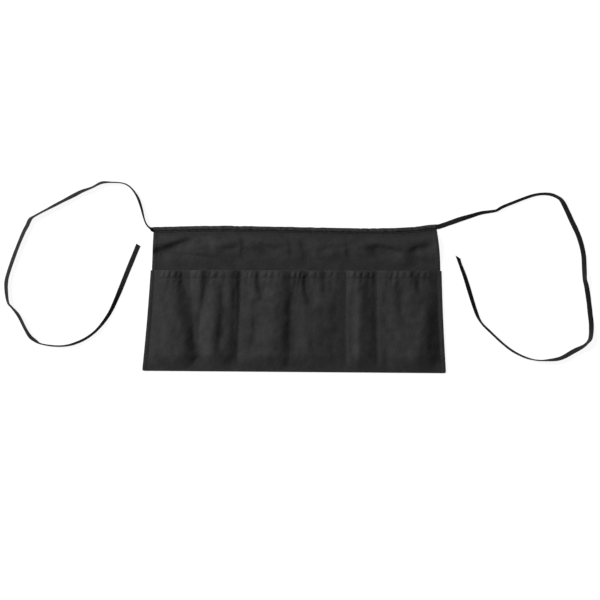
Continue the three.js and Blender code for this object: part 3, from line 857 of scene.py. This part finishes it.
# Rows 0 to 1 run from the hem to the mouth, 1 to 2 up the yoke, and 2 to 3 inside the waistband, where
# the cloth ends a third of the band's thickness below its fold
def bodySurface(across, row):
    hem, mouth, foot = hemY(across), mouthY(across), footY(across)
    top = topY(across) - apron["bandThick"] / 3
    flat, up, inner = np.clip(row, 0, 1), np.clip(row - 1, 0, 1), np.clip(row - 2, 0, 1)
    y = hem + (mouth - hem) * flat + (foot - mouth) * up + (top - foot) * inner
    x = np.where(row < 1, pocketX(across, flat, apron["pocketProud"]), yokeX(across, up))
    side = sideDistance(across)
    shown = smooth((row - 1) * body["hemFade"]) * smooth((2 - row) * body["hemFade"])
    fold = apron["hemFold"] * foldOf(apron["sideHem"], side)
    groove = hemmed["bodyDepth"] * sideGroove(side)
    dimple = body["dimple"] * noise(across * apron["hemWidth"], y, *body["dimpleCell"], seed=9)
    laid = apron["bodyTop"] - body["dimple"] + dimple
    z = np.where(row < 1, laid, yokeHeight(across, up))
    return np.stack([x, y, z + (fold - groove) * shown], axis=-1)


def makeBodyPanel():
    columns = gridLine(body["cells"], body["columnEdge"])
    inner = slice(None, -1 - len(closeSteps))  # without the close rows at the end, and the last
    rows = np.concatenate([
        gridLine(body["flatRows"], body["flatEdge"])[inner],
        1 + gridLine(body["yokeRows"], body["yokeEdge"])[inner],
        2 + np.linspace(0, 1, body["bandRows"] + 1),
    ])
    row, across = np.meshgrid(rows, columns, indexing="ij")
    grid = bodySurface(across, row)
    uv = np.stack([across * apron["hemWidth"], grid[..., 1]], axis=-1)
    wear = body["rub"] * bell(sideDistance(across), apron["rubWidth"])
    cloth = makePanel("body_panel", grid, uv, wear)


makeBodyPanel()
makePocketPanel()


# Waistband: folded tape bound over the top edge, a U whose fold is the top

band = {
    "stations": 284,
    "straightPoints": 14,
    "foldPoints": 9,
    "wallGain": 1.25,  # thickness of the tape over that of the cloth
    "clearance": 0.0001,
    "cushion": 0.0006,
    "cushionRise": 0.003,
    "groove": 0.0018,
    "grooveHalf": 0.0011,
    "stitchUp": 0.0019,
    "pucker": 0.00015,
    "puckerCell": (0.005, 0.006),
    "lineWave": 0.0003,
    "lineWaveCell": 0.014,
    "rub": 0.8,  # the tape's face is rubbed nearly all over, and most on its fold
    "foldRub": 0.2,
    "foldRubWidth": 0.0016,
    # Dimples where the tape was pulled while it was sewn: share across, half width and depth
    "dimples": [(0.16, 0.004, 0.0004), (0.2, 0.003, 0.0004), (0.285, 0.004, 0.0005),
                (0.305, 0.003, 0.0004), (0.43, 0.004, 0.0003), (0.73, 0.003, 0.0006),
                (0.762, 0.0025, 0.0007), (0.79, 0.003, 0.0006), (0.92, 0.004, 0.0004)],
    "dimpleStart": 0.004,
}


# The profile's outside, from the back foot round the fold to the front foot: straight, half a circle,
# straight. Gives each point's y from the fold, its height and its outward direction.
def bandProfile():
    radius = apron["bandThick"] / 2
    reach = np.linspace(0, 1, band["straightPoints"], endpoint=False)
    angle = np.linspace(-np.pi / 2, np.pi / 2, band["foldPoints"])
    back = (apron["tapeWidth"] - radius) * reach - apron["tapeWidth"]
    none, full = np.zeros_like(reach), np.ones_like(reach)
    y = np.concatenate([back, radius * np.cos(angle) - radius, back[::-1]])
    z = np.concatenate([none, radius * np.sin(angle) + radius, 2 * radius * full])
    outY = np.concatenate([none, np.cos(angle), none])
    outZ = np.concatenate([-full, np.sin(angle), full])
    return y, z, outY, outZ


# How far the tape's face stands out at a distance above the foot: a cushion between the stitches and the
# fold, less the groove of the stitches and the puckers and dimples along the band
def bandRelief(across, fromFoot):
    x = across * apron["hemWidth"]
    cushion = band["cushion"] * smooth((fromFoot - band["stitchUp"]) / band["cushionRise"])
    groove = band["groove"] * bell(fromFoot - band["stitchUp"], band["grooveHalf"])
    relief = cushion - groove + band["pucker"] * noise(x, fromFoot, *band["puckerCell"], seed=12)
    ramp = smooth(fromFoot / band["dimpleStart"])
    for place, half, depth in band["dimples"]:
        relief = relief - depth * bell(x - place * apron["hemWidth"], half) * ramp
    return relief


def bandLine(across):  # the top edge, wavering a little
    waver = ripple(across * apron["hemWidth"], band["lineWaveCell"], seed=13)
    return topY(across) + band["lineWave"] * waver


# The ring is the outer profile with its relief, and the same profile a wall inside it, run backwards
def makeWaistband():
    across = np.linspace(0, 1, band["stations"] + 1)
    y, z, outY, outZ = bandProfile()
    relief = bandRelief(across[:, None], (y + apron["tapeWidth"])[None])
    relief = relief * np.clip(0.5 + z / apron["bandThick"], 0, 1)  # half as strong on the back
    wall = apron["clothWall"] * band["wallGain"]
    outer = np.stack([y + relief * outY, np.maximum(z + relief * outZ, band["clearance"])], axis=-1)
    inner = np.stack([y - wall * outY, z - wall * outZ], axis=-1)[::-1]
    ring = np.concatenate([outer, np.broadcast_to(inner, outer.shape)], axis=1)
    x = np.broadcast_to(yokeX(across, 1.0)[:, None], ring.shape[:2])
    points = np.stack([x, bandLine(across)[:, None] + ring[..., 0], ring[..., 1]], axis=-1)
    flat, faceSets = carried(points, across * apron["topWidth"])
    rub = band["rub"] + band["foldRub"] * bell(y, band["foldRubWidth"])
    wear = np.tile(np.concatenate([rub, np.zeros_like(rub)]), len(across))
    tape = newPiece("waistband_tape", flat, faceSets, foldedTape, wear)
    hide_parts("waistband")


makeWaistband()


# Stitch lines of the panels and the band

seam = {
    "pitch": 0.003,
    "bandPitch": 0.0028,
    "points": 500,
    "uprightPoints": 300,
    # First and last share of each kind of line
    "across": (0.004, 0.996),
    "up": (0.005, 0.992),
    "backAcross": (0.006, 0.994),
    "backUp": (0.012, 0.99),
    "yokeStart": 1.02,
    "yokeShare": 0.96,
    "bandSpan": (0.003, 0.997),
    "bandBack": 0.0003,
    "backSink": 0.00012,
    "barPlaces": [0.008, *pocket["seams"], 0.992],
    "barWidth": 0.0022,
    "barReach": 1.1,  # half a line of the bar, in bar widths, with room for one stitch
    "barStart": 0.0012,
    "barLength": 0.008,
    "barRows": 9,
    "barPoints": 5,
}
sideLine = (apron["sideHem"] - hemmed["sideInset"]) / apron["hemWidth"]
uprights = [sideLine, *pocket["seams"], 1 - sideLine]


def lineOn(surface, a, b):  # points of a line on a surface, and the normals from two small steps beside it
    small = 1e-4
    here = surface(a, b)
    return here, unit(np.cross(surface(a + small, b) - here, surface(a, b + small) - here))


def levelLine(span, up):  # shares across and up of a line at one height above the hem, in metres
    across = np.linspace(*seam[span], seam["points"])
    return across, np.full_like(across, up / apron["pocketDepth"])


def uprightLines(span):  # the same for the three seams and both side hems, from bottom to top
    up = np.linspace(*seam[span], seam["uprightPoints"])
    return [(np.full_like(up, across), up) for across in uprights]


# Front of the panels: the stitches of the mouth hem and of the bottom, the uprights, and the yoke's hems
def clothRows():
    mouth = apron["pocketDepth"] - pocket["mouthHem"] + hemmed["mouthInset"]
    lines = [levelLine("across", mouth), levelLine("across", pocket["bottomStitch"]), *uprightLines("up")]
    rows = [lineOn(pocketSurface, across, up) for across, up in lines]
    up = seam["yokeStart"] + seam["yokeShare"] * np.linspace(*seam["up"], seam["uprightPoints"])
    for across in (sideLine, 1 - sideLine):
        rows.append(lineOn(bodySurface, np.full_like(up, across), up))
    return rows


# Back of the seams: the same lines on the underside, about half a stitch further on
def backRows():
    rows = []
    for across, up in (*uprightLines("backUp"), levelLine("backAcross", pocket["bottomStitch"])):
        line, normal = lineOn(bodySurface, across, up)
        rows.append((line - normal * (apron["clothWall"] - seam["backSink"]), -normal))
    return rows


# Bar tacks at the mouth of each seam and at both side hems: short stitches laid close across the line
def tackRows():
    rows = []
    reach = seam["barReach"] * seam["barWidth"] / apron["hemWidth"]
    downs = seam["barStart"] + np.linspace(0, seam["barLength"], seam["barRows"])
    for place in seam["barPlaces"]:
        across = np.linspace(place - reach, place + reach, seam["barPoints"])
        for up in 1 - downs / apron["pocketDepth"]:
            rows.append(lineOn(pocketSurface, across, np.full_like(across, up)))
    return rows


# Waistband: one line near its foot, in the groove on the front and the same on the back
def bandRows():
    across = np.linspace(*seam["bandSpan"], seam["points"])
    relief = bandRelief(across, np.full_like(across, band["stitchUp"]))
    x, y = yokeX(across, 1.0), bandLine(across) - apron["tapeWidth"] + band["stitchUp"]
    front = np.stack([x, y, apron["bandThick"] + relief], axis=-1)
    back = np.stack([x, y, np.full_like(across, seam["bandBack"])], axis=-1)
    upright = np.tile([0, 0, 1.0], (seam["points"], 1))
    return [(front, upright), (back, -upright)]


makeStitches("panel_stitches", clothRows() + backRows(), seam["pitch"])
makeStitches("bar_tacks", tackRows(), seam["barWidth"])
makeStitches("waistband_stitches", bandRows(), seam["bandPitch"])


# Table, light and picture

# Matt board with a glow of its own, so that it comes out nearly white and the ties throw only a faint
# shadow
table = {
    "half": 12,
    "drop": 0.0004,
    "look": {
        "Base Color": linear("#5c5c5c"),
        "Roughness": 0.9,
        "Specular IOR Level": 0.1,
        "Emission Color": (1, 1, 1, 1),
        "Emission Strength": 0.93,
    },
}

board = bpy.data.materials.new("pale_table")
board.use_nodes = True
for socket, value in table["look"].items():
    board.node_tree.nodes["Principled BSDF"].inputs[socket].default_value = value

half, low = table["half"], -table["drop"]
mesh = bpy.data.meshes.new("table")
mesh.from_pydata([(-half, -half, low), (half, -half, low), (half, half, low), (-half, half, low)],
                 [], [(0, 1, 2, 3)])
mesh.materials.append(board)
floor = newObject("table", mesh)

# Each light: place, aim, size and power. The key is low on the left, so that it rakes across the folds.
# A lamp points straight down, and is tipped by the angle from there to its aim, then turned round Z.
lights = {
    "key": ((-4.6, 2.15, 3.2), (0, 0, 0), 1.4, 630),
    "overhead": ((0.3, -0.4, 8.0), (0, 0, 0), 4.8, 24),
}
sky = {"colour": (1, 1, 1, 1), "strength": 0.1}

for name, (place, aim, size, power) in lights.items():
    lamp = newObject(name, bpy.data.lights.new(name, "AREA"))
    lamp.data.size = size
    lamp.data.energy = power
    way = unit(np.array(aim, float) - place)
    lamp.location = place
    lamp.rotation_euler = (math.acos(-way[2]), 0, math.atan2(-way[0], way[1]))

world = bpy.data.worlds.new("studio")
bpy.context.scene.world = world
world.use_nodes = True
world.node_tree.nodes["Background"].inputs["Color"].default_value = sky["colour"]
world.node_tree.nodes["Background"].inputs["Strength"].default_value = sky["strength"]
bpy.context.scene.view_settings.view_transform = "Standard"
print("table and light ready")

bpy.context.view_layer.update()
